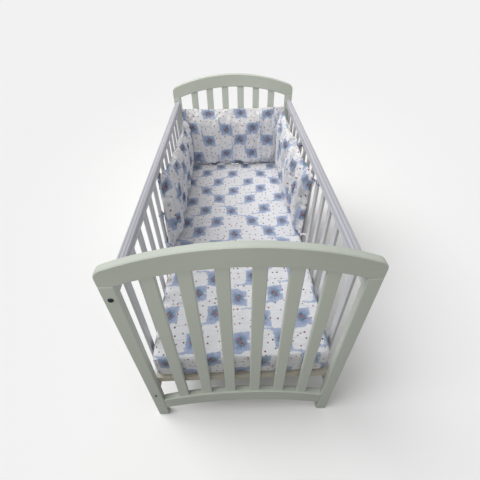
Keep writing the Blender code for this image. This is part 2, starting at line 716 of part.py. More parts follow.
def tie(side, place, bar, z, below, size, ends, ears):
    """A tape round a bar, its knot, its two free ends and, on the bow, its two ears."""
    sign = SIGNS[side]
    bar_y = bar * SIDE_BAR_PITCH
    low = z - below
    x, y = knot_place(side, place, bar_y, low, size)
    knot = Vector((sign * x, y, low))
    name = f"tie_{side}_{place}"
    material = "white_tape" if place == "low_tape" else "printed_cotton"
    mesh = bmesh.new()
    bmesh.ops.create_icosphere(mesh, subdivisions=2, radius=size)
    bmesh.ops.scale(mesh, vec=KNOT_SHAPE, verts=mesh.verts)
    bmesh.ops.translate(mesh, vec=knot, verts=mesh.verts)
    obj = add_object(name, as_mesh(mesh, name), material, smooth=True)
    union(obj, tape(round_bar(sign, bar_y, z, knot), (0, 0, 1), name + "_loop"))
    steps = [i / 4 for i in range(5)]
    for number, drop in enumerate(ends):
        path = []
        for t in steps:
            follow = edge_at(side, low - drop * t)[0] - edge_at(side, low)[0]
            away = END_SWAY[number] * math.sin(2.4 * t)
            path.append(knot + Vector((0, follow + away, -drop * t)))
        union(obj, tape(path, (0.25 - 0.5 * number, 1, 0), f"{name}_end_{number + 1}"))
    for number, (inwards, along, up) in enumerate(EAR_WAYS if ears else ()):
        way = Vector((-sign * inwards, along, up)) * ears
        path = [knot + way * t + Vector((0, 0, -EAR_DROOP * t**2)) for t in steps]
        union(obj, tape(path, (0, 0, 1), f"{name}_ear_{number + 1}", EAR_WIDTHS, 2))


def build():
    make_materials()
    for end, end_sign in (("foot", -1), ("head", 1)):
        end_board(end, end_sign * (HALF_LENGTH - BOARD_THICK / 2))
        bolt(f"{end}_bolt_top", end_sign, BOLT_HEIGHT, BOLT_RADIUS)
        bolt(f"{end}_bolt_low", end_sign, SMALL_BOLT_HEIGHT, SMALL_BOLT_RADIUS)
    for side, sign in SIGNS.items():
        gate(side, sign)
        rail_cap(side, sign)
    mattress_base()
    mattress()
    side_section("left", LEFT_FOLDS)
    side_section("right", RIGHT_FOLDS)
    head_section()
    for row in TIES:
        tie(*row)


clear_scene()
parts = new_collection("crib_bumper_on_cot")
cutters = new_collection("cutters")
build()
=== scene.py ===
"""Looks of the crib bumper, the cot that it is tied to and the mattress that it stands on.

The file is laid out as an add-on and run as a script. Metres, +Z up, the packed model's frame: the
foot board faces -Y, and the bumper stands round the head-end half.
"""

import math

import bmesh
import bpy
from bpy.props import FloatProperty, FloatVectorProperty, IntProperty, PointerProperty
from mathutils import Matrix, Vector, noise


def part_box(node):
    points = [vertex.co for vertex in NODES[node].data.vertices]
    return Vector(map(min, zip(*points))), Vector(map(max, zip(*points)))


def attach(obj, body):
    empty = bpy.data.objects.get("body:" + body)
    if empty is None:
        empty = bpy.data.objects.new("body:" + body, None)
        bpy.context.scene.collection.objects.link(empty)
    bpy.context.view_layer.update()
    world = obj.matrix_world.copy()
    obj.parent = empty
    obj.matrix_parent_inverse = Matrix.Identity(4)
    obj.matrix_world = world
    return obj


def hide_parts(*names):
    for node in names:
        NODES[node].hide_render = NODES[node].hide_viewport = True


bl_info = {
    "name": "Crib bumper on a cot",
    "version": (1, 0, 0),
    "blender": (4, 5, 0),
    "location": "View3D > Sidebar > Crib bumper",
    "description": "Dresses the packed crib bumper, its cot and its mattress",
    "category": "Object",
}

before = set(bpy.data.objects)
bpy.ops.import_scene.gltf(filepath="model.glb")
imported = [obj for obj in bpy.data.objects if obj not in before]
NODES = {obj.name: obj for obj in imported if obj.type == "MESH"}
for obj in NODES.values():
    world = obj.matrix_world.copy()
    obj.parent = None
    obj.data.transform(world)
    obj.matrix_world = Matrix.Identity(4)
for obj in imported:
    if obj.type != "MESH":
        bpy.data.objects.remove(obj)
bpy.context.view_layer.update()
SIGNS = {"left": -1, "right": 1}

# Places in the packed model
BAR_SETBACK = 0.00725  # of the gates' bars from the face of their rails
RAIL_FACE = -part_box("gate_left")[1].x
BAR_FACE = RAIL_FACE + BAR_SETBACK
RAIL_LOW = 0.7585  # underside of the gates' top rails
MATTRESS_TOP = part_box("mattress")[1].z
HEAD_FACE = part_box("head_bar_1")[0].y


# ---------- sizes and colours a user may change


def length(name, description, default, **more):
    return FloatProperty(
        name=name, description=description, default=default, unit="LENGTH", precision=4, **more
    )


def colour(name, description, default):
    return FloatVectorProperty(
        name=name, description=description, default=default, subtype="COLOR", min=0, max=1
    )


class CotFinish(bpy.types.PropertyGroup):
    """Paint and mouldings of the cot"""

    sage: colour("Sage paint", "Paint of the two end boards", (0.525, 0.565, 0.505))
    gate: colour("Gate paint", "Paint of the side gates", (0.66, 0.66, 0.675))
    cap: colour("Rail cap", "Moulded cap of the side rails", (0.56, 0.56, 0.62))
    board: colour("Base board", "Bare board of the mattress base", (0.56, 0.52, 0.44))
    bolt: colour("Bolt", "Dark metal of the bolt heads", (0.035, 0.05, 0.055))


class ClothFinish(bpy.types.PropertyGroup):
    """Printed cotton"""

    ground: colour("Ground", "Unprinted cotton", (0.74, 0.745, 0.775))
    body: colour("Elephant", "Wash of the elephants", (0.25, 0.335, 0.54))
    deep: colour("Elephant, deep", "Deep strokes of the wash", (0.045, 0.095, 0.20))
    flower: colour("Flower", "Flowers of the garland", (0.42, 0.035, 0.07))
    leaf: colour("Leaf", "Leaves of the garland", (0.08, 0.22, 0.25))
    tape: colour("Tape", "White tape", (0.84, 0.83, 0.86))
    tie: colour("Tie", "Printed cotton of the ties, pale part", (0.50, 0.55, 0.72))
    tie_deep: colour("Tie, deep", "Printed cotton of the ties, dark part", (0.045, 0.075, 0.19))
    repeat_wide: length("Repeat across", "Width of the print's repeat", 0.170)
    repeat_high: length("Repeat along", "Height of the print's repeat", 0.155)


class Filling(bpy.types.PropertyGroup):
    """How the padded pieces are filled"""

    grain: length("Cloth grain", "Size of a simulated square of cloth", 0.0055)
    pressure: FloatProperty(name="Pressure", description="Pressure of the filling", default=3.0)
    ease: FloatProperty(name="Ease", description="Share of spare cloth", default=0.06)
    frames: IntProperty(name="Frames", description="Steps of the simulation", default=20)
    cap: length("Swell", "Most that the cloth may move", 0.007)
    pucker: length("Pucker", "Depth of the puckers along a seam", 0.0026)
    crease: length("Crease", "Depth of the narrow folds", 0.0150)


class StageSettings(bpy.types.PropertyGroup):
    """Floor, lights and camera"""

    camera_place: FloatVectorProperty(
        name="Camera", description="Place of the camera", default=(-0.0126, -1.0437, 1.3898)
    )
    camera_turn: FloatProperty(name="Turn", description="Degrees towards +X", default=0.970)
    camera_down: FloatProperty(name="Down", description="Degrees below level", default=37.788)
    camera_roll: FloatProperty(name="Roll", description="Degrees of roll", default=-1.04)
    lens: FloatProperty(name="Lens", description="Focal length in mm", default=22.407)
    shift: FloatVectorProperty(
        name="Shift", description="Shift of the lens", size=2, default=(0.004978, -0.08757)
    )
    floor: colour("Floor", "Pale floor", (0.910, 0.910, 0.910))
    bounce: colour("Bounce", "What the floor throws back on to the cot", (0.33, 0.33, 0.32))
    room: FloatProperty(name="Room", description="Light from all round", default=0.40)
    key: FloatProperty(name="Key", description="Strength of the key light", default=2.15)
    key_size: FloatProperty(name="Key size", description="Width in degrees", default=46)
    key_way: FloatVectorProperty(
        name="Key way", description="Way the key shines", default=(0.65, -0.04, -1)
    )
    softbox: FloatProperty(name="Softbox", description="Watts over the head end", default=1.85)
    front: FloatProperty(name="Front light", description="Watts over the foot end", default=0.62)
    backdrop: FloatProperty(name="Backdrop", description="Brightness behind the cot", default=0.89)


GROUPS = {
    "cot_finish": CotFinish,
    "cloth_finish": ClothFinish,
    "filling": Filling,
    "stage_settings": StageSettings,
}


# ---------- small helpers for node trees


def new_material(name, roughness, metallic=0.0, sheen=0.0):
    material = bpy.data.materials.new(name)
    material.use_nodes = True
    shader = material.node_tree.nodes["Principled BSDF"]
    shader.inputs["Roughness"].default_value = roughness
    shader.inputs["Metallic"].default_value = metallic
    shader.inputs["Sheen Weight"].default_value = sheen
    return material, material.node_tree, shader


def feed(tree, socket, value):
    """Links a socket, or sets a value on it."""
    if isinstance(value, bpy.types.NodeSocket):
        tree.links.new(value, socket)
    else:
        socket.default_value = value


def calc(tree, operation, *values, clamp=False):
    node = tree.nodes.new("ShaderNodeMath")
    node.operation = operation
    node.use_clamp = clamp
    for socket, value in zip(node.inputs, values):
        feed(tree, socket, value)
    return node.outputs[0]


def apart(tree, value, middle):
    """How far a value is from another, either way."""
    return calc(tree, "ABSOLUTE", calc(tree, "SUBTRACT", value, middle))


def vector(tree, operation, *values):
    node = tree.nodes.new("ShaderNodeVectorMath")
    node.operation = operation
    others = [node.inputs["Scale"]] if operation == "SCALE" else node.inputs[1:3]
    for socket, value in zip((node.inputs[0], *others), values):
        feed(tree, socket, value)
    plain = operation in ("LENGTH", "DOT_PRODUCT", "DISTANCE")
    return node.outputs["Value" if plain else "Vector"]


def stretched(tree, place, factors):
    return vector(tree, "MULTIPLY", place, factors)


def parts_of(tree, value):
    node = tree.nodes.new("ShaderNodeSeparateXYZ")
    feed(tree, node.inputs[0], value)
    return tuple(node.outputs)


def joined(tree, x, y, z=0.0):
    node = tree.nodes.new("ShaderNodeCombineXYZ")
    for socket, value in zip(node.inputs, (x, y, z)):
        feed(tree, socket, value)
    return node.outputs[0]


def mixed(tree, share, first, second):
    """Colour between first and second."""
    node = tree.nodes.new("ShaderNodeMix")
    node.data_type = "RGBA"
    feed(tree, node.inputs["Factor"], share)
    for socket, value in ((node.inputs[6], first), (node.inputs[7], second)):
        feed(tree, socket, value if isinstance(value, bpy.types.NodeSocket) else (*value, 1))
    return node.outputs[2]


def noise_at(tree, place, scale, detail=2.0, roughness=0.5, output="Fac"):
    node = tree.nodes.new("ShaderNodeTexNoise")
    feed(tree, node.inputs["Vector"], place)
    node.inputs["Scale"].default_value = scale
    node.inputs["Detail"].default_value = detail
    node.inputs["Roughness"].default_value = roughness
    return node.outputs[output]


def fitted(tree, value, low, high, to_low=0.0, to_high=1.0):
    """Maps low..high onto to_low..to_high, held inside."""
    node = tree.nodes.new("ShaderNodeMapRange")
    for socket, number in zip(node.inputs, (value, low, high, to_low, to_high)):
        feed(tree, socket, number)
    return node.outputs[0]


def bump(tree, shader, height, distance, strength):
    node = tree.nodes.new("ShaderNodeBump")
    node.inputs["Distance"].default_value = distance
    node.inputs["Strength"].default_value = strength
    feed(tree, node.inputs["Height"], height)
    tree.links.new(node.outputs[0], shader.inputs["Normal"])


def object_place(tree):
    return tree.nodes.new("ShaderNodeTexCoord").outputs["Object"]


def is_camera_ray(tree):
    return tree.nodes.new("ShaderNodeLightPath").outputs["Is Camera Ray"]


def shade(tint, share):
    """A colour made darker, or paler where share is over 1."""
    return tuple(min(1, channel * share) for channel in tint)


# ---------- finishes of the cot

# Sprayed paint
GRAIN_UP = (260.0, 260.0, 9.0)  # fineness of the grain along each axis, on uprights
GRAIN_LEVEL = (9.0, 260.0, 260.0)
CLOUD_SCALE = 5.0
PEEL_SCALE, PEEL_SHARE = 420.0, 0.3
# shares of the paint's colour: duller, paler, and paler still on sharp edges as a painted
# highlight
DULL_PAINT, PALE_PAINT, EDGE_HIGHLIGHT = 0.94, 1.035, 1.25
EDGE_FROM, EDGE_TO, EDGE_SHARE = 0.52, 0.60, 0.5  # how sharp an edge is where the paint is made paler, a painted highlight
PAINT_RELIEF = 0.00035

# Moulded caps
CAP_MIDDLE = 0.3085  # of the rails, from the middle of the cot
CAP_GROOVE = 0.0052  # of the cap's two grooves, from the rail's middle
GROOVE_HALF = 0.0016
CAP_LINES = (900.0, 1.5, 900.0)
CAP_SCUFFS = (60.0, 14.0, 60.0)
# the second share darkens the grooves: painted shade
CAP_DULL, GROOVE_PAINTED_SHADE = 0.86, 0.62
CAP_RELIEF = 0.0014

# Bare board and dark metal
BOARD_FIBRE = (40.0, 400.0, 400.0)
BOARD_DARK, BOARD_PALE = 0.8, 1.12
BOARD_RELIEF = 0.0004
METAL_SCALE, METAL_RELIEF = 900.0, 0.0001


def painted_wood(name, tint, grain, roughness):
    """Sprayed paint over wood: faint grain, orange peel, gloss that varies with the grain, and
    sharp edges made paler as a painted highlight.
    """
    material, tree, shader = new_material(name, roughness)
    place = object_place(tree)
    along = noise_at(tree, stretched(tree, place, grain), 1.0, 4.0, 0.6)
    cloud = noise_at(tree, place, CLOUD_SCALE, 3.0, 0.55)
    clouded = fitted(tree, cloud, 0.3, 0.7)
    base = mixed(tree, clouded, shade(tint, DULL_PAINT), shade(tint, PALE_PAINT))
    # Sharp edges are made paler: a painted highlight
    edge_sharpness = tree.nodes.new("ShaderNodeNewGeometry").outputs["Pointiness"]
    edge = calc(tree, "MULTIPLY", fitted(tree, edge_sharpness, EDGE_FROM, EDGE_TO), EDGE_SHARE)
    base = mixed(tree, edge, base, shade(tint, EDGE_HIGHLIGHT))
    tree.links.new(base, shader.inputs["Base Color"])
    gloss = fitted(tree, along, 0.2, 0.8, roughness - 0.06, roughness + 0.08)
    tree.links.new(gloss, shader.inputs["Roughness"])
    peel = noise_at(tree, place, PEEL_SCALE, 1.0)
    height = calc(tree, "ADD", along, calc(tree, "MULTIPLY", peel, PEEL_SHARE))
    bump(tree, shader, height, PAINT_RELIEF, 0.5)
    return material


def moulded_cap(name, tint):
    """Drawn plastic: fine lines along its length, two grooves darkened with painted shade, and a
    soft gloss.
    """
    material, tree, shader = new_material(name, 0.32)
    place = object_place(tree)
    lines = noise_at(tree, stretched(tree, place, CAP_LINES), 1.0, 1.0)
    scuffs = noise_at(tree, stretched(tree, place, CAP_SCUFFS), 1.0, 3.0)
    base = mixed(tree, fitted(tree, lines, 0.42, 0.62), shade(tint, CAP_DULL), tint)
    across, _, _ = parts_of(tree, place)
    off = apart(tree, calc(tree, "ABSOLUTE", across), CAP_MIDDLE)
    flat = fitted(tree, apart(tree, off, CAP_GROOVE), 0.0, GROOVE_HALF)
    # The grooves are darkened: painted shade
    base = mixed(tree, flat, shade(tint, GROOVE_PAINTED_SHADE), base)
    tree.links.new(base, shader.inputs["Base Color"])
    tree.links.new(fitted(tree, scuffs, 0.3, 0.7, 0.26, 0.42), shader.inputs["Roughness"])
    height = calc(tree, "ADD", calc(tree, "MULTIPLY", lines, 0.12), flat)
    bump(tree, shader, height, CAP_RELIEF, 0.8)
    return material


def bare_board(name, tint):
    """Pressed board with a short fibre."""
    material, tree, shader = new_material(name, 0.72)
    fibre = noise_at(tree, stretched(tree, object_place(tree), BOARD_FIBRE), 1.0, 3.0, 0.65)
    base = mixed(tree, fibre, shade(tint, BOARD_DARK), shade(tint, BOARD_PALE))
    tree.links.new(base, shader.inputs["Base Color"])
    bump(tree, shader, fibre, BOARD_RELIEF, 0.5)
    return material


def dark_metal(name, tint):
    material, tree, shader = new_material(name, 0.35, metallic=0.9)
    shader.inputs["Base Color"].default_value = (*tint, 1)
    rubbed = noise_at(tree, object_place(tree), METAL_SCALE, 2.0)
    tree.links.new(fitted(tree, rubbed, 0.3, 0.7, 0.26, 0.46), shader.inputs["Roughness"])
    bump(tree, shader, rubbed, METAL_RELIEF, 0.4)
    return material


def dress(nodes, material):
    """Gives CAD nodes a material, on every slot they have."""
    for name in nodes:
        data = NODES[name].data
        if not data.materials:
            data.materials.append(material)
        for index in range(len(data.materials)):
            data.materials[index] = material


class CRIB_OT_cot(bpy.types.Operator):
    """Paint the end boards and gates, and finish the caps, base and bolts"""

    bl_idname = "crib_bumper.cot"
    bl_label = "Cot finishes"

    def execute(self, context):
        finish = context.scene.cot_finish
        sage_bars = painted_wood("sage_upright", finish.sage, GRAIN_UP, 0.42)
        sage_rails = painted_wood("sage_level", finish.sage, GRAIN_LEVEL, 0.42)
        gate = painted_wood("gate_paint", finish.gate, GRAIN_UP, 0.38)
        boards = [n for n in NODES if n.startswith(("head_", "foot_")) and "bolt" not in n]
        dress([n for n in boards if "rail" in n], sage_rails)
        dress([n for n in boards if "rail" not in n], sage_bars)
        dress(["gate_left", "gate_right"], gate)
        dress(["rail_cap_left", "rail_cap_right"], moulded_cap("rail_cap", finish.cap))
        dress(["mattress_base"], bare_board("base_board", finish.board))
        dress([n for n in NODES if "bolt" in n], dark_metal("bolt_metal", finish.bolt))
        return {"FINISHED"}


# ---------- printed cotton

HALF = (0.5, 0.5, 0.5)  # the middle of a noise
EDGE_WAVES = ((70.0, 0.0085), (420.0, 0.0022))  # fineness and reach of a painted edge's wander
MASKS = ("Body", "Deep", "Flower", "Leaf", "Ink")
CM = 100  # centimetres in a metre
BODY_MIDDLE = 1.8  # cm, how far the middle of a body is below the middle of its cell
WANDER_ACROSS = 2.6  # cm that an elephant may stand off its place in the repeat
WANDER_UP = 2.8

# An elephant, in centimetres from the middle of its body
BODY_LEAN = 0.14
BODY_BLOCK = ((0.1, -0.1), (3.2, 2.9))  # middle, half sizes
HEAD_DISC = ((-2.4, 1.0), (1.6, 2.1))
LEG_NOTCH = ((0.3, -3.1), (0.42, 0.9))
TRUNK = (
    # from, to, width
    ((-3.1, 1.6), (-3.7, 3.4), 1.1),
    ((-3.7, 3.4), (-3.9, 5.4), 0.6),
    ((-3.9, 5.4), (-3.6, 7.2), 0.45),
)
TAIL = ((3.0, 1.4), (3.5, -0.4), 0.25)
EAR = ((-1.7, 1.0), (0.9, 1.3))
SADDLE = ((0.2, 0.1), (2.3, 2.0))

# Its garland: softness of the edges, then (middle, half sizes) of each spot
GARLAND = {
    "Flower": (
        0.12,
        (
            ((-0.75, -0.75), 0.34, 0.30),
            ((0.10, -0.05), 0.38, 0.36),
            ((0.95, 0.80), 0.30, 0.34),
            ((-0.35, 1.15), 0.26, 0.24),
        ),
    ),
    "Leaf": (
        0.25,
        (
            ((-0.15, -1.0), 0.75, 0.42),
            ((0.95, -0.15), 0.60, 0.55),
            ((-0.85, 0.35), 0.60, 0.50),
            ((0.30, 1.30), 0.70, 0.38),
        ),
    ),
    "Ink": (
        0.12,
        (
            ((-0.35, -0.35), 0.20, 0.30),
            ((0.60, 0.40), 0.26, 0.20),
            ((1.30, 0.35), 0.18, 0.30),
            ((0.10, 0.75), 0.28, 0.18),
            ((-1.25, -0.20), 0.20, 0.26),
        ),
    ),
}
INK = (0.02, 0.03, 0.07)

# Faint rings between the elephants
RING_TINT, RING_SHARE = (0.62, 0.50, 0.46), 0.22
RING_WAVES, RING_REACH = 8.5, 2.1  # per cm, cm

# Wash of the elephants
BRUSH = (60.0, 320.0, 1.0)  # fineness of the level strokes
BLOT_SCALE = 90.0
WASH_THIN = 0.45  # share of the ground that shows through a thin stroke

# Small dots on the clear ground
DOT_SCALE, DOT_SCATTER = 36.0, 0.8
DOT_SMALL, DOT_LARGE, DOT_SOFT = 0.080, 0.132, 0.015  # in steps of their scatter
DOT_TINTS = (
    # from, colour
    (0.0, (0.24, 0.03, 0.05)),
    (0.34, (0.025, 0.045, 0.045)),
    (0.56, (0.17, 0.21, 0.16)),
    (0.72, (0.38, 0.075, 0.06)),
    (0.88, (0.45, 0.21, 0.25)),
)

# Stitches, weave and fine folds
STITCH_AWAY = 0.0065  # from a seam
STITCH_WIDTH = 0.0005
STITCH_STEP = 0.0035
STITCH_TINT, STITCH_SHARE = (0.30, 0.31, 0.36), 0.35
THREAD_SCALE, THREAD_TINT, THREAD_SHARE = 1500.0, (0.42, 0.43, 0.47), 0.10
THREAD_PITCH = 0.0008
RUMPLE_SCALE = 95.0
FOLD_STRETCH = (34.0, 6.0, 1.0)  # of the fine folds that run up the cloth
WEAVE_DEPTH, RUMPLE_DEPTH, FOLD_DEPTH, STITCH_DEPTH = 0.08, 1.6, 3.2, 0.5
CLOTH_RELIEF = 0.0012


def new_group(name, inputs, outputs):
    """A node group with its sockets, as (tree, input sockets, function that sets an output)."""
    tree = bpy.data.node_groups.new(name, "ShaderNodeTree")
    for socket, kind in inputs:
        tree.interface.new_socket(socket, in_out="INPUT", socket_type=kind)
    for socket, kind in outputs:
        tree.interface.new_socket(socket, in_out="OUTPUT", socket_type=kind)
    source, sink = tree.nodes.new("NodeGroupInput"), tree.nodes.new("NodeGroupOutput")
    return tree, source.outputs, lambda socket, value: tree.links.new(value, sink.inputs[socket])


def use_group(tree, group, **values):
    node = tree.nodes.new("ShaderNodeGroup")
    node.node_tree = group
    for socket, value in values.items():
        feed(tree, node.inputs[socket], value)
    return node.outputs


def disc(tree, place, centre, radii):
    """Distance outside an ellipse, roughly in the units of place."""
    offset = vector(tree, "SUBTRACT", place, (*centre, 0))
    reach = vector(tree, "LENGTH", vector(tree, "DIVIDE", offset, (*radii, 1)))
    return calc(tree, "MULTIPLY", calc(tree, "SUBTRACT", reach, 1.0), min(radii))


def block(tree, x, y, centre, halves):
    """Distance outside a rectangle."""
    wide = calc(tree, "SUBTRACT", apart(tree, x, centre[0]), halves[0])
    high = calc(tree, "SUBTRACT", apart(tree, y, centre[1]), halves[1])
    return calc(tree, "MAXIMUM", wide, high)


def stroke(tree, place, start, end, width):
    """Distance outside a straight brush stroke with round ends."""
    run = Vector(end) - Vector(start)
    offset = vector(tree, "SUBTRACT", place, (*start, 0))
    reach = vector(tree, "DOT_PRODUCT", offset, (*run, 0))
    along = calc(tree, "DIVIDE", reach, run.length_squared, clamp=True)
    nearest = vector(tree, "SCALE", (*run, 0), along)
    return calc(tree, "SUBTRACT", vector(tree, "DISTANCE", offset, nearest), width / 2)


def inside(tree, distance, softness):
    """1 inside a shape, 0 outside, with a soft edge."""
    return fitted(tree, distance, -softness, softness, 1.0, 0.0)


def nearest_of(tree, *distances):
    result = distances[0]
    for distance in distances[1:]:
        result = calc(tree, "MINIMUM", result, distance)
    return result


def elephant_group():
    """One painted elephant with its garland, around a place in centimetres."""
    tree, given, give = new_group(
        "painted_elephant",
        [("Place", "NodeSocketVector")],
        [(name, "NodeSocketFloat") for name in MASKS],
    )
    place = given["Place"]
    x, y, _ = parts_of(tree, place)
    leaning = calc(tree, "MULTIPLY_ADD", y, BODY_LEAN, x)
    body = nearest_of(tree, block(tree, leaning, y, *BODY_BLOCK), disc(tree, place, *HEAD_DISC))
    notch = block(tree, x, y, *LEG_NOTCH)
    body = calc(tree, "MAXIMUM", body, calc(tree, "MULTIPLY", notch, -1.0))
    trunk = nearest_of(tree, *[stroke(tree, place, *row) for row in TRUNK])
    whole = nearest_of(tree, body, trunk, stroke(tree, place, *TAIL))
    give("Body", inside(tree, whole, 0.2))
    ear = calc(tree, "MULTIPLY", inside(tree, disc(tree, place, *EAR), 0.4), 0.6)
    saddle = inside(tree, disc(tree, place, *SADDLE), 0.9)
    give("Deep", calc(tree, "MAXIMUM", saddle, ear))
    for name, (softness, row) in GARLAND.items():
        spots = [disc(tree, place, centre, (wide, high)) for centre, wide, high in row]
        give(name, inside(tree, nearest_of(tree, *spots), softness))
    return tree


def lattice(tree, u, v, wide, high, shift):
    """Place in centimetres in a cell of the print, mirrored in one cell of three.

    Each cell's elephant stands a little off the cell's middle, by a number of its own.
    """
    column = calc(tree, "ADD", calc(tree, "DIVIDE", u, wide), shift)
    row = calc(tree, "ADD", calc(tree, "DIVIDE", v, high), shift)
    cell_x, cell_y = calc(tree, "FLOOR", column), calc(tree, "FLOOR", row)
    number = calc(tree, "ADD", cell_x, calc(tree, "MULTIPLY", cell_y, 2.0))
    turn = calc(tree, "MODULO", calc(tree, "ADD", number, 400.0), 3.0)
    turned = calc(tree, "MULTIPLY", calc(tree, "GREATER_THAN", turn, 1.5), -2.0)
    flip = calc(tree, "SUBTRACT", turned, -1.0)
    chance = tree.nodes.new("ShaderNodeTexWhiteNoise")
    feed(tree, chance.inputs["Vector"], joined(tree, cell_x, cell_y, shift * 7))
    off_x, off_y, _ = parts_of(tree, vector(tree, "SUBTRACT", chance.outputs["Color"], HALF))
    in_x = calc(tree, "SUBTRACT", calc(tree, "FRACT", column), 0.5)
    in_y = calc(tree, "SUBTRACT", calc(tree, "FRACT", row), 0.5)
    in_x = calc(tree, "MULTIPLY", in_x, wide * CM)
    in_y = calc(tree, "MULTIPLY", in_y, high * CM)
    in_x = calc(tree, "MULTIPLY_ADD", off_x, WANDER_ACROSS, in_x)
    in_y = calc(tree, "MULTIPLY_ADD", off_y, WANDER_UP, in_y)
    return joined(tree, calc(tree, "MULTIPLY", in_x, flip), calc(tree, "ADD", in_y, BODY_MIDDLE))


def wandering(tree, cloth):
    """The place on the cloth, shifted a little so that painted edges wander."""
    place = cloth
    for scale, reach in EDGE_WAVES:
        chance = noise_at(tree, cloth, scale, 3.0, 0.6, "Color")
        shift = vector(tree, "SUBTRACT", chance, HALF)
        place = vector(tree, "ADD", place, vector(tree, "SCALE", shift, reach))
    return place


def faint_rings(tree, u, v, wide, high):
    """Share of the rings in the clear places between the elephants."""
    column = calc(tree, "FRACT", calc(tree, "ADD", calc(tree, "DIVIDE", u, wide / 2), 0.5))
    row = calc(tree, "FRACT", calc(tree, "DIVIDE", v, high))
    in_x = calc(tree, "MULTIPLY", calc(tree, "SUBTRACT", column, 0.5), wide / 2 * CM)
    in_y = calc(tree, "MULTIPLY", calc(tree, "SUBTRACT", row, 0.75), high * CM)
    radius = vector(tree, "LENGTH", joined(tree, in_x, in_y))
    waves = calc(tree, "SINE", calc(tree, "MULTIPLY", radius, RING_WAVES))
    within = inside(tree, calc(tree, "SUBTRACT", radius, RING_REACH), 0.1)
    return calc(tree, "MULTIPLY", fitted(tree, waves, 0.1, 0.7), within)


def painted(tree, base, cloth, masks, finish):
    """The elephants over the ground: level strokes that dry darker, then the garland."""
    strokes = noise_at(tree, stretched(tree, cloth, BRUSH), 1.0, 3.0, 0.6)
    blot = noise_at(tree, cloth, BLOT_SCALE, 3.0, 0.6)
    thin = tuple(
        (1 - WASH_THIN) * full + WASH_THIN * clear
        for full, clear in zip(finish.body, finish.ground)
    )
    wash = mixed(tree, fitted(tree, strokes, 0.35, 0.68), finish.body, thin)
    deep = calc(tree, "MULTIPLY", masks["Deep"], fitted(tree, blot, 0.30, 0.60))
    wash = mixed(tree, calc(tree, "MULTIPLY", deep, 0.85), wash, finish.deep)
    cover = calc(tree, "MULTIPLY", masks["Body"], fitted(tree, strokes, 0.2, 0.45, 0.80, 1.0))
    base = mixed(tree, cover, base, wash)
    for name, share, tint in (
        ("Leaf", 0.85, finish.leaf),
        ("Ink", 0.9, INK),
        ("Flower", 0.95, finish.flower),
    ):
        base = mixed(tree, calc(tree, "MULTIPLY", masks[name], share), base, tint)
    return base


def dot_tint(tree, seed):
    """Colour of a small dot, from its own random number."""
    ramp_node = tree.nodes.new("ShaderNodeValToRGB")
    ramp_node.color_ramp.interpolation = "CONSTANT"
    elements = ramp_node.color_ramp.elements
    while len(elements) < len(DOT_TINTS):
        elements.new(0.5)
    for element, (start, tint) in zip(elements, DOT_TINTS):
        element.position = start
        element.color = (*tint, 1)
    tree.links.new(seed, ramp_node.inputs[0])
    return ramp_node.outputs[0]


def dotted(tree, base, cloth, body):
    """Small dots scattered over the clear ground."""
    spots = tree.nodes.new("ShaderNodeTexVoronoi")
    spots.voronoi_dimensions = "2D"
    spots.inputs["Scale"].default_value = DOT_SCALE
    spots.inputs["Randomness"].default_value = DOT_SCATTER
    tree.links.new(cloth, spots.inputs["Vector"])
    seed, size_seed, _ = parts_of(tree, spots.outputs["Color"])
    size = fitted(tree, size_seed, 0.0, 1.0, DOT_SMALL, DOT_LARGE)
    dot = inside(tree, calc(tree, "SUBTRACT", spots.outputs["Distance"], size), DOT_SOFT)
    clear = calc(tree, "SUBTRACT", 1.0, body, clamp=True)
    return mixed(tree, calc(tree, "MULTIPLY", dot, clear), base, dot_tint(tree, seed))


def print_group(finish):
    """The whole print as one colour, from a place on the cloth in metres."""
    tree, given, give = new_group(
        "elephant_print", [("Cloth", "NodeSocketVector")], [("Color", "NodeSocketColor")]
    )
    cloth = given["Cloth"]
    u, v, _ = parts_of(tree, wandering(tree, cloth))
    elephant = elephant_group()
    wide, high = finish.repeat_wide, finish.repeat_high
    first, second = [
        use_group(tree, elephant, Place=lattice(tree, u, v, wide, high, shift))
        for shift in (0.0, 0.5)
    ]
    masks = {name: calc(tree, "MAXIMUM", first[name], second[name]) for name in MASKS}
    rings = calc(tree, "MULTIPLY", faint_rings(tree, u, v, wide, high), RING_SHARE)
    base = mixed(tree, rings, finish.ground, RING_TINT)
    base = painted(tree, base, cloth, masks, finish)
    give("Color", dotted(tree, base, cloth, masks["Body"]))
    return tree


def stitches(tree, base):
    """A row of stitches beside each seam, from the UV map "seam": (along, away) in metres."""
    seam = tree.nodes.new("ShaderNodeUVMap")
    seam.uv_map = "seam"
    along, away, _ = parts_of(tree, seam.outputs[0])
    off = calc(tree, "SUBTRACT", apart(tree, away, STITCH_AWAY), STITCH_WIDTH)
    beat = calc(tree, "FRACT", calc(tree, "DIVIDE", along, STITCH_STEP))
    dash = fitted(tree, apart(tree, beat, 0.5), 0.30, 0.40, 1.0, 0.0)
    mask = calc(tree, "MULTIPLY", inside(tree, off, STITCH_WIDTH / 2), dash)
    return mixed(tree, calc(tree, "MULTIPLY", mask, STITCH_SHARE), base, STITCH_TINT), mask


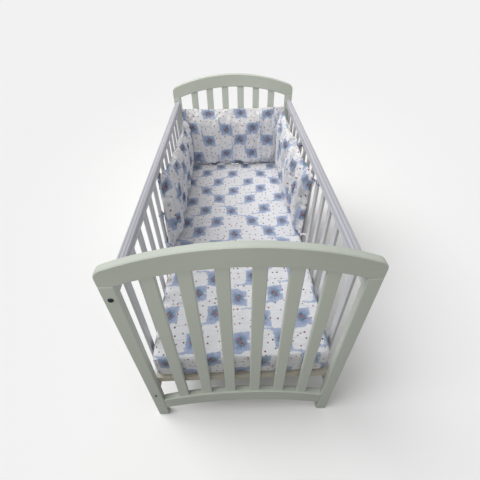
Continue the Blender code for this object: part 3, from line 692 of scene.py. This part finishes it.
def cloth_relief(tree, place, stitched):
    """Height of the weave, the rumples, the fine folds and the stitches."""
    waves = [
        calc(tree, "SINE", calc(tree, "MULTIPLY", axis, 2 * math.pi / THREAD_PITCH))
        for axis in parts_of(tree, place)[:2]
    ]
    weave = calc(tree, "MULTIPLY", calc(tree, "ADD", *waves), 0.25)
    rumple = noise_at(tree, place, RUMPLE_SCALE, 3.0, 0.6)
    wander = noise_at(tree, stretched(tree, place, FOLD_STRETCH), 1.0, 3.0, 0.55)
    fold = fitted(tree, apart(tree, wander, 0.5), 0.0, 0.09)
    height = calc(tree, "MULTIPLY", weave, WEAVE_DEPTH)
    for relief, depth in ((rumple, RUMPLE_DEPTH), (fold, FOLD_DEPTH)):
        height = calc(tree, "ADD", height, calc(tree, "MULTIPLY", relief, depth))
    return calc(tree, "SUBTRACT", height, calc(tree, "MULTIPLY", stitched, STITCH_DEPTH))


def cotton(name, print_tree=None, tint=None, other=None):
    """Cotton with its weave: printed where it has a print, else dyed in one colour or two."""
    material, tree, shader = new_material(name, 0.85, sheen=0.25)
    shader.inputs["Sheen Roughness"].default_value = 0.5
    cloth = tree.nodes.new("ShaderNodeUVMap")
    cloth.uv_map = "cloth"
    place = cloth.outputs[0]
    if print_tree:
        base = use_group(tree, print_tree, Cloth=place)["Color"]
    elif other:
        patch = noise_at(tree, place, 120.0, 2.0)
        base = mixed(tree, fitted(tree, patch, 0.44, 0.54), tint, other)
    else:
        base = mixed(tree, noise_at(tree, place, 14.0, 3.0), tint, shade(tint, 0.9))
    base, stitched = stitches(tree, base)
    threads = noise_at(tree, place, THREAD_SCALE, 1.0)
    faded = mixed(tree, fitted(tree, threads, 0.3, 0.7, 0.0, THREAD_SHARE), base, THREAD_TINT)
    tree.links.new(faded, shader.inputs["Base Color"])
    bump(tree, shader, cloth_relief(tree, place, stitched), CLOTH_RELIEF, 0.6)
    return material


class CRIB_OT_cloth(bpy.types.Operator):
    """Make the printed cotton"""

    bl_idname = "crib_bumper.cloth"
    bl_label = "Printed cotton"

    def execute(self, context):
        cotton("printed_cotton_cloth", print_group(context.scene.cloth_finish))
        return {"FINISHED"}


# ---------- padded pieces

# Cloth of the simulation
CLOTH_MASS = 0.25
CLOTH_STIFFNESS, SHEAR_STIFFNESS, BENDING_STIFFNESS = 20, 8, 0.4
CLOTH_QUALITY = 5

# Puckers along a seam
SEAM_BAND = 0.030  # how far they run in from it
SEAM_STEP = 0.012  # grain of the search for a seam's place
PUCKER_WAVES = (
    # fineness along the seam, step between seams, fineness away from it, share
    (62, 7.3, 9, 1.0),
    (150, 3.1, 20, 0.5),
)

# Folds, from noises with a fineness along and up the panel
FOLD_FINE, FOLD_HALF = (22, 2.6), 0.13
CROSS_FINE, CROSS_HALF, CROSS_SHARE = (9, 7.0), 0.07, 0.40
SWELL_FINE, SWELL_SHARE = (17, 1.6), 0.95


def ramp(value, low, high):
    """0 below low, 1 above high, smooth between."""
    t = max(0.0, min(1.0, (value - low) / (high - low)))
    return t * t * (3 - 2 * t)


def merged_copy(node, name):
    """A copy of a CAD node's mesh with its loose triangles joined, as a new object."""
    data = bpy.data.meshes.new(name)
    mesh = bmesh.new()
    mesh.from_mesh(NODES[node].data)
    bmesh.ops.remove_doubles(mesh, verts=mesh.verts, dist=1e-5)
    mesh.to_mesh(data)
    mesh.free()
    obj = bpy.data.objects.new(name, data)
    bpy.context.scene.collection.objects.link(obj)
    return obj


def remeshed(obj, grain):
    """Replaces an object's mesh by an even one."""
    modifier = obj.modifiers.new("grain", "REMESH")
    modifier.mode = "VOXEL"
    modifier.voxel_size = grain
    shaped = obj.evaluated_get(bpy.context.evaluated_depsgraph_get())
    data = bpy.data.meshes.new_from_object(shaped)
    data.name = obj.name
    obj.modifiers.clear()
    obj.data = data


def point_map(obj, name, place):
    """Gives the mesh a UV map, in metres, from a function of a point."""
    layer = obj.data.uv_layers.new(name=name)
    spots = [place(vert.co) for vert in obj.data.vertices]
    for loop in obj.data.loops:
        layer.data[loop.index].uv = spots[loop.vertex_index]


def seam_map(obj, seams):
    """Gives the mesh the UV map "seam": (place along the nearest seam, distance to it)."""
    point_map(obj, "seam", lambda point: min(seams(point))[::-1])


def push_out(obj, amount):
    """Moves each point along its normal by an amount that is a function of the point."""
    shifts = [vert.normal * amount(vert.co) for vert in obj.data.vertices]
    for vert, shift in zip(obj.data.vertices, shifts):
        vert.co += shift


def hold_inside(obj, limits):
    """Moves points back to where their neighbours leave room."""
    for vert in obj.data.vertices:
        limits(vert.co)


def add_cloth(obj, filling, held):
    """Adds the simulation of a filled cloth, held by a named group of its points."""
    cloth = obj.modifiers.new("filling", "CLOTH")
    settings = cloth.settings
    settings.quality = CLOTH_QUALITY
    settings.mass = CLOTH_MASS
    settings.tension_stiffness = settings.compression_stiffness = CLOTH_STIFFNESS
    settings.shear_stiffness = SHEAR_STIFFNESS
    settings.bending_stiffness = BENDING_STIFFNESS
    settings.use_pressure = True
    settings.uniform_pressure_force = filling.pressure
    settings.shrink_min = -filling.ease
    settings.vertex_group_mass = held
    settings.effector_weights.gravity = 0
    cloth.collision_settings.use_collision = False
    cloth.collision_settings.use_self_collision = False


def fill(obj, filling, pinned):
    """Swells the cloth by simulation. pinned gives how firmly a point is held, from 0 to 1."""
    group = obj.vertex_groups.new(name="held")
    for vert in obj.data.vertices:
        hold = pinned(vert.co)
        if hold > 0:
            group.add([vert.index], hold, "REPLACE")
    add_cloth(obj, filling, group.name)
    scene = bpy.context.scene
    for number in range(1, filling.frames + 1):
        scene.frame_set(number)
    shaped = obj.evaluated_get(bpy.context.evaluated_depsgraph_get()).data
    moved = [vert.co.copy() for vert in shaped.vertices]
    obj.modifiers.clear()
    obj.vertex_groups.clear()
    for vert, place in zip(obj.data.vertices, moved):
        step = place - vert.co
        if step.length > filling.cap:
            step *= filling.cap / step.length
        vert.co += step
    scene.frame_set(1)


def pucker(obj, depth, seams, seed):
    """Small gathers that cross each seam. seams gives (distance, place along) of a point."""

    def amount(point):
        push = 0.0
        for number, (away, along) in enumerate(seams(point)):
            if away < SEAM_BAND:
                wave = 0.0
                for along_scale, step, away_scale, share in PUCKER_WAVES:
                    spot = Vector((along * along_scale, number * step + seed, away * away_scale))
                    wave += share * noise.noise(spot)
                push += wave * depth * (1 - away / SEAM_BAND)
        return push

    push_out(obj, amount)


def fold_noise(along, up, fineness, seed):
    return noise.noise(Vector((along * fineness[0], up * fineness[1], seed)))


def creases(obj, place, depth, seed):
    """Narrow folds that wander up the panel. place gives (along, up, share) of a point."""

    def amount(point):
        along, up, share = place(point)
        line = fold_noise(along, up, FOLD_FINE, seed)
        cross = fold_noise(along, up, CROSS_FINE, seed + 9)
        drop = math.exp(-((line / FOLD_HALF) ** 2))
        drop += CROSS_SHARE * math.exp(-((cross / CROSS_HALF) ** 2))
        swell = SWELL_SHARE * fold_noise(along, up, SWELL_FINE, seed + 4)
        return (swell - drop) * depth * share

    push_out(obj, amount)


def finish_padded(obj, node):
    """Shades, subdivides and attaches a padded piece."""
    obj.data.materials.clear()
    obj.data.materials.append(bpy.data.materials["printed_cotton_cloth"])
    obj.data.shade_smooth()
    finer = obj.modifiers.new("finer", "SUBSURF")
    finer.levels = finer.render_levels = 1
    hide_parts(node)
    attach(obj, "root")


# ---------- side sections

HEAD_SEAM_Y = 0.5965
CLEAR_OF_BARS = 0.0022
LEAN_FROM, LEAN_FULL = 0.014, 0.006  # below the rail: where a section leans in to clear it
CLEAR_OF_MATTRESS = 0.001
MATTRESS_FLAT = 0.290  # half width of the mattress's flat top
HELD_FIRM, HELD_FREE = 0.009, 0.016  # from the bars: held by them, and free of them
CORNER_FIRM, CORNER_FREE = 0.006, 0.030  # the same from the head seam
FOLDS_FROM, FOLDS_FULL = 0.016, 0.032  # from the bars: where folds start, and are full
TOP_FADE, SEAM_FADE = (0.0, 0.05), (0.01, 0.05)  # the same from the top and the head seam
TOP_ROUND = (0.52, 0.70)  # heights between which the cloth goes over to the back
LOW_ROUND = (0.42, 0.47)  # the same at the low edge
ROUND_SHARE = 0.6  # of a point's depth that the cloth takes up as it goes round
FRONT_ROUND = 0.10  # from the front end, where the cloth starts to go round it
HIDDEN_CLOTH = 0.016  # how far cloth that lies in folds shifts the print


def side_limits(sign):
    def limits(place):
        rail = ramp(place.z, RAIL_LOW - LEAN_FROM, RAIL_LOW - LEAN_FULL)
        furthest = BAR_FACE - CLEAR_OF_BARS - (BAR_FACE - RAIL_FACE) * rail
        if abs(place.x) > furthest:
            place.x = sign * furthest
        if place.z < MATTRESS_TOP + CLEAR_OF_MATTRESS and abs(place.x) < MATTRESS_FLAT:
            place.z = MATTRESS_TOP + CLEAR_OF_MATTRESS

    return limits


def side_cloth_place(low_y, seed):
    """Where a point of a side section lies on its cloth. seed is that of its folds."""

    def place(point):
        depth = BAR_FACE - abs(point.x)
        up = ramp(point.z, *TOP_ROUND) - ramp(-point.z, -LOW_ROUND[1], -LOW_ROUND[0])
        front = ramp(-point.y, -low_y - FRONT_ROUND, -low_y)
        hidden = HIDDEN_CLOTH * fold_noise(point.y, point.z, FOLD_FINE, seed)
        across = point.y + ROUND_SHARE * depth * front + hidden
        return (across, point.z - ROUND_SHARE * depth * up)

    return place


def seams_of_side(obj, low, high):
    """The four seams of a filled side section, as a function of a point."""
    fronts, tops = {}, {}

    def cell(point):
        return int(point.z / SEAM_STEP), int(point.y / SEAM_STEP + 100)

    for vert in obj.data.vertices:
        row, column = cell(vert.co)
        fronts[row] = min(fronts.get(row, 1.0), vert.co.y)
        tops[column] = max(tops.get(column, 0.0), vert.co.z)

    def seams(point):
        row, column = cell(point)
        return (
            (tops.get(column, high.z) - point.z, point.y),
            (point.y - fronts.get(row, low.y), point.z),
            (HEAD_SEAM_Y - point.y, point.z),
            (point.z - low.z, point.y),
        )

    return seams


def side_section(side, filling):
    sign = SIGNS[side]
    node = f"bumper_{side}"
    fold_seed = 11.0 + 3 * sign
    low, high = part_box(node)
    obj = merged_copy(node, f"padded_{side}_section")
    remeshed(obj, filling.grain)
    point_map(obj, "cloth", side_cloth_place(low.y, fold_seed))

    def pinned(point):
        behind = ramp(abs(point.x), BAR_FACE - HELD_FREE, BAR_FACE - HELD_FIRM)
        corner = ramp(point.y, HEAD_SEAM_Y - CORNER_FREE, HEAD_SEAM_Y - CORNER_FIRM)
        return max(behind, corner)

    def crease_place(point):
        share = ramp(BAR_FACE - abs(point.x), FOLDS_FROM, FOLDS_FULL)
        share *= ramp(high.z - point.z, *TOP_FADE) * ramp(HEAD_SEAM_Y - point.y, *SEAM_FADE)
        return point.y, point.z, share

    fill(obj, filling, pinned)
    seams = seams_of_side(obj, low, high)
    creases(obj, crease_place, filling.crease, fold_seed)
    pucker(obj, filling.pucker, seams, 2.0 + sign)
    seam_map(obj, seams)
    hold_inside(obj, side_limits(sign))
    finish_padded(obj, node)


class CRIB_OT_sections(bpy.types.Operator):
    """Fill the left and right sections of the bumper"""

    bl_idname = "crib_bumper.sections"
    bl_label = "Side sections"

    def execute(self, context):
        for side in SIGNS:
            side_section(side, context.scene.filling)
        return {"FINISHED"}


# ---------- head section

HEAD_TOP_ROUND = (0.52, 0.72)
HEAD_PRINT = (0.31, 0.04)  # how far the print is shifted on this section
HEAD_CORNER_FIRM, HEAD_CORNER_FREE = 0.012, 0.040  # from the section's two ends
HEAD_FOLDS, HEAD_TOP_FADE = 0.5, (0.0, 0.04)  # folds half as deep as the others'
TUCK_TOP = 0.405  # the low edge is tucked down behind the mattress from here
BEHIND_MATTRESS = (0.588, 0.594)  # over which the tuck sets in
TUCK_DROP = 0.010
TUCK_Y = 0.6045
TUCK_PULL = 0.7
MATTRESS_END = 0.595  # of the mattress's flat top
CLEAR_OF_BOARD = 0.0012


def head_cloth_place(point):
    """Where a point of the head section lies on its cloth."""
    depth = HEAD_FACE - point.y
    up = ramp(point.z, *HEAD_TOP_ROUND) - ramp(-point.z, -LOW_ROUND[1], -LOW_ROUND[0])
    return (point.x + HEAD_PRINT[0], point.z - ROUND_SHARE * depth * up + HEAD_PRINT[1])


def tuck_in(obj, low):
    """Tucks the low edge down behind the mattress."""
    for vert in obj.data.vertices:
        tuck = ramp(-vert.co.z, -TUCK_TOP, -low.z) * ramp(vert.co.y, *BEHIND_MATTRESS)
        vert.co.z -= TUCK_DROP * tuck
        vert.co.y += (TUCK_Y - vert.co.y) * TUCK_PULL * tuck


def head_limits(point):
    point.y = min(point.y, HEAD_FACE - CLEAR_OF_BOARD)
    if point.z < MATTRESS_TOP + CLEAR_OF_MATTRESS and point.y < MATTRESS_END:
        point.z = MATTRESS_TOP + CLEAR_OF_MATTRESS


def head_section(filling):
    low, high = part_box("bumper_head")
    obj = merged_copy("bumper_head", "padded_head_section")
    remeshed(obj, filling.grain)
    point_map(obj, "cloth", head_cloth_place)

    def pinned(point):
        behind = ramp(point.y, HEAD_FACE - HELD_FREE, HEAD_FACE - HELD_FIRM)
        corner = ramp(abs(point.x), high.x - HEAD_CORNER_FREE, high.x - HEAD_CORNER_FIRM)
        return max(behind, corner)

    def seams(point):
        return (high.z - point.z, point.x), (point.z - low.z, point.x)

    def crease_place(point):
        share = ramp(HEAD_FACE - point.y, FOLDS_FROM, FOLDS_FULL)
        return point.x, point.z, HEAD_FOLDS * share * ramp(high.z - point.z, *HEAD_TOP_FADE)

    fill(obj, filling, pinned)
    tuck_in(obj, low)
    creases(obj, crease_place, filling.crease, 31.0)
    pucker(obj, filling.pucker, seams, 5.0)
    seam_map(obj, seams)
    hold_inside(obj, head_limits)
    finish_padded(obj, "bumper_head")


class CRIB_OT_head(bpy.types.Operator):
    """Fill the head section of the bumper"""

    bl_idname = "crib_bumper.head"
    bl_label = "Head section"

    def execute(self, context):
        head_section(context.scene.filling)
        return {"FINISHED"}


# ---------- mattress

MATTRESS_PRINT = (0.03, 0.9)  # how far the print is shifted on the mattress
ROUND_OUTER, ROUND_INNER = 0.004, 0.02  # from the mattress's sides, where its cover goes over
SIDE_BAND, TOP_BAND = 0.03, 0.01
SIDE_WAVE = TOP_WAVE = 0.0022
TOP_FOLD = 0.0032


def mattress_in_cover(filling):
    low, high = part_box("mattress")
    middle = (low.z + high.z) / 2
    obj = merged_copy("mattress", "mattress_in_cover")
    remeshed(obj, 2 * filling.grain)

    def place(point):
        drop = high.z - point.z
        over_x = ramp(abs(point.x), high.x - ROUND_INNER, high.x - ROUND_OUTER)
        over_y = ramp(abs(point.y), high.y - ROUND_INNER, high.y - ROUND_OUTER)
        side, end = math.copysign(1, point.x), math.copysign(1, point.y)
        along = point.y + end * drop * over_y + MATTRESS_PRINT[0]
        return (along, MATTRESS_PRINT[1] - point.x - side * drop * over_x)

    point_map(obj, "cloth", place)
    for vert in obj.data.vertices:
        point = vert.co
        to_side, to_end = high.x - abs(point.x), high.y - abs(point.y)
        if min(to_side, to_end) < SIDE_BAND:
            along = point.y if to_side < to_end else point.x
            wave = noise.noise(Vector((along * 30, point.z * 6, 3.0)))
            share = ramp(-abs(point.z - middle), -0.055, -0.02)
            point += vert.normal * wave * SIDE_WAVE * share
        elif point.z > high.z - TOP_BAND:
            point.z += TOP_WAVE * noise.noise(Vector((point.x * 5, point.y * 9, 1.0)))
            fold = noise.noise(Vector((point.x * 3 + point.y * 2, point.y * 7, 6.0)))
            point.z -= TOP_FOLD * math.exp(-((fold / 0.07) ** 2))
    hold_inside(obj, lambda p: setattr(p, "z", max(p.z, low.z)))
    finish_padded(obj, "mattress")


class CRIB_OT_mattress(bpy.types.Operator):
    """Dress the mattress in its fitted cover"""

    bl_idname = "crib_bumper.mattress"
    bl_label = "Mattress"

    def execute(self, context):
        mattress_in_cover(context.scene.filling)
        return {"FINISHED"}


# ---------- ties

TIE_GRAIN = 0.0005
TIE_SMOOTHING = 4  # rounds


def tie(node, material, slot):
    """A tape tie and its knot, smoothed from its solid."""
    obj = merged_copy(node, node.replace("tie_", "tape_tie_"))
    remeshed(obj, TIE_GRAIN)
    mesh = bmesh.new()
    mesh.from_mesh(obj.data)
    for _ in range(TIE_SMOOTHING):
        bmesh.ops.smooth_vert(
            mesh, verts=mesh.verts, factor=0.5, use_axis_x=True, use_axis_y=True, use_axis_z=True
        )
    mesh.to_mesh(obj.data)
    mesh.free()
    point_map(obj, "cloth", lambda p: (p.y + p.x, p.z))
    obj.data.materials.clear()
    obj.data.materials.append(material)
    obj.data.shade_smooth()
    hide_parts(node)
    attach(obj, "root")


class CRIB_OT_ties(bpy.types.Operator):
    """Tie the free edges of the bumper to the bars"""

    bl_idname = "crib_bumper.ties"
    bl_label = "Ties"

    def execute(self, context):
        finish = context.scene.cloth_finish
        tape = cotton("white_tape_cloth", tint=tuple(finish.tape))
        printed = cotton("tie_cloth", tint=tuple(finish.tie_deep), other=tuple(finish.tie))
        for node in [n for n in NODES if n.startswith("tie_")]:
            white = node.endswith("low_tape")
            tie(node, tape if white else printed, "white_tape" if white else "printed_cotton")
        return {"FINISHED"}


# ---------- stage

FLOOR_REACH = 60.0
FLOOR_DROP = 0.0005
WARM_WHITE = (1.0, 0.955, 0.87)
LIGHT_SPREAD = 70  # degrees
HEAD_LIGHT = {"size": 0.7, "place": (-0.15, -0.25, 2.1), "aim": (0.0, 0.75, 0.6)}
FOOT_LIGHT = {"size": 0.8, "place": (-0.30, -1.55, 1.55), "aim": (-0.12, -0.62, 0.85)}


def lay_floor(scene, settings):
    """A pale floor that throws back less light than it shows."""
    data = bpy.data.meshes.new("floor")
    mesh = bmesh.new()
    bmesh.ops.create_grid(mesh, x_segments=1, y_segments=1, size=FLOOR_REACH)
    mesh.to_mesh(data)
    mesh.free()
    floor = bpy.data.objects.new("floor", data)
    scene.collection.objects.link(floor)
    floor.location.z = -FLOOR_DROP
    material, tree, shader = new_material("floor", 0.9)
    ground = mixed(tree, is_camera_ray(tree), tuple(settings.bounce), tuple(settings.floor))
    tree.links.new(ground, shader.inputs["Base Color"])
    shader.inputs["Specular IOR Level"].default_value = 0.0
    data.materials.append(material)


def light_all_round(scene, settings):
    """Even light from all round, and a plain backdrop of its own brightness."""
    world = bpy.data.worlds.new("soft_room")
    scene.world = world
    world.use_nodes = True
    tree = world.node_tree
    background = tree.nodes["Background"]
    background.inputs["Color"].default_value = (1, 1, 1, 1)
    strength = fitted(tree, is_camera_ray(tree), 0.0, 1.0, settings.room, settings.backdrop)
    tree.links.new(strength, background.inputs["Strength"])


def add_key(scene, settings):
    sun = bpy.data.lights.new("key", "SUN")
    sun.energy, sun.angle = settings.key, math.radians(settings.key_size)
    key = bpy.data.objects.new("key", sun)
    key.rotation_euler = Vector(settings.key_way).to_track_quat("-Z", "Y").to_euler()
    scene.collection.objects.link(key)


def add_softbox(scene, name, energy, size, place, aim):
    light = bpy.data.lights.new(name, "AREA")
    light.energy, light.size = energy, size
    light.color = WARM_WHITE
    light.spread = math.radians(LIGHT_SPREAD)
    obj = bpy.data.objects.new(name, light)
    obj.location = place
    obj.visible_camera = False
    obj.rotation_euler = (Vector(aim) - Vector(place)).to_track_quat("-Z", "Y").to_euler()
    scene.collection.objects.link(obj)


def set_camera(scene, settings):
    lens = bpy.data.cameras.new("camera")
    lens.lens = settings.lens
    lens.shift_x, lens.shift_y = settings.shift
    lens.clip_end = 200
    camera = bpy.data.objects.new("camera", lens)
    turn = Matrix.Rotation(-math.radians(settings.camera_turn), 4, "Z")
    tip = Matrix.Rotation(math.radians(90 - settings.camera_down), 4, "X")
    roll = Matrix.Rotation(math.radians(settings.camera_roll), 4, "Z")
    camera.matrix_world = Matrix.Translation(settings.camera_place) @ turn @ tip @ roll
    scene.collection.objects.link(camera)
    scene.camera = camera


class CRIB_OT_stage(bpy.types.Operator):
    """Lay the floor, hang the lights and set the camera"""

    bl_idname = "crib_bumper.stage"
    bl_label = "Stage"

    def execute(self, context):
        scene = context.scene
        settings = scene.stage_settings
        lay_floor(scene, settings)
        light_all_round(scene, settings)
        add_key(scene, settings)
        add_softbox(scene, "head_softbox", settings.softbox, **HEAD_LIGHT)
        add_softbox(scene, "foot_softbox", settings.front, **FOOT_LIGHT)
        set_camera(scene, settings)
        scene.view_settings.view_transform = "Standard"
        return {"FINISHED"}


# ---------- the sidebar panel and the run

OPERATORS = (
    CRIB_OT_cloth,
    CRIB_OT_cot,
    CRIB_OT_mattress,
    CRIB_OT_head,
    CRIB_OT_sections,
    CRIB_OT_ties,
    CRIB_OT_stage,
)


class CRIB_PT_sidebar(bpy.types.Panel):
    """Lists the steps that dress the crib bumper"""

    bl_label = "Crib bumper"
    bl_idname = "CRIB_PT_sidebar"
    bl_space_type = "VIEW_3D"
    bl_region_type = "UI"
    bl_category = "Crib bumper"

    def draw(self, context):
        for name, group in GROUPS.items():
            box = self.layout.box()
            box.label(text=group.__doc__)
            for prop in group.__annotations__:
                box.prop(getattr(context.scene, name), prop)
        for operator in OPERATORS:
            self.layout.operator(operator.bl_idname)


def register():
    for kind in (*GROUPS.values(), *OPERATORS, CRIB_PT_sidebar):
        bpy.utils.register_class(kind)
    for name, group in GROUPS.items():
        setattr(bpy.types.Scene, name, PointerProperty(type=group))


def unregister():
    for name in GROUPS:
        delattr(bpy.types.Scene, name)
    for kind in (CRIB_PT_sidebar, *reversed(OPERATORS), *reversed(GROUPS.values())):
        bpy.utils.unregister_class(kind)


def main():
    register()
    for operator in OPERATORS:
        step = operator.bl_idname.split(".")[1]
        getattr(bpy.ops.crib_bumper, step)()


if __name__ == "__main__":
    main()
